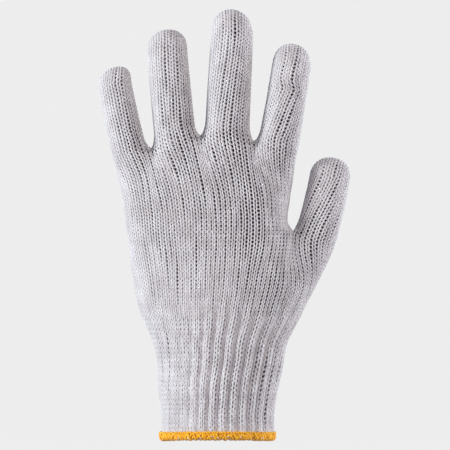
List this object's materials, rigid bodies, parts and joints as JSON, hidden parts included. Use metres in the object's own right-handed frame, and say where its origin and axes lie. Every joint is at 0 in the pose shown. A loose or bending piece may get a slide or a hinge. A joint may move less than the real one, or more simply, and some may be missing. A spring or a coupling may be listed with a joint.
{
  "type": "cotton work glove",
  "caption": "Seamless knitted cotton work glove in its worn shape, with a ribbed elastic cuff and an overlocked hem.",
  "frame": {"origin": "middle of the cuff's mouth, at the hem's lower edge", "axes": "+Z from the wrist to the fingertips, +Y to the palm's side, +X to the thumb"},
  "size_m": [0.1466, 0.0456, 0.2505],
  "materials": {
    "cotton_knit": "undyed knitted cotton",
    "rib_knit": "undyed ribbed cotton",
    "hem_thread": "orange-yellow thread"
  },
  "bodies": {
    "root": {"little_finger": "cotton_knit", "ring_finger": "cotton_knit", "middle_finger": "cotton_knit", "index_finger": "cotton_knit", "thumb": "cotton_knit", "palm": "cotton_knit", "heel": "cotton_knit", "rib_cuff": "rib_knit", "overlock_hem": "hem_thread"}
  },
  "joints": []
}
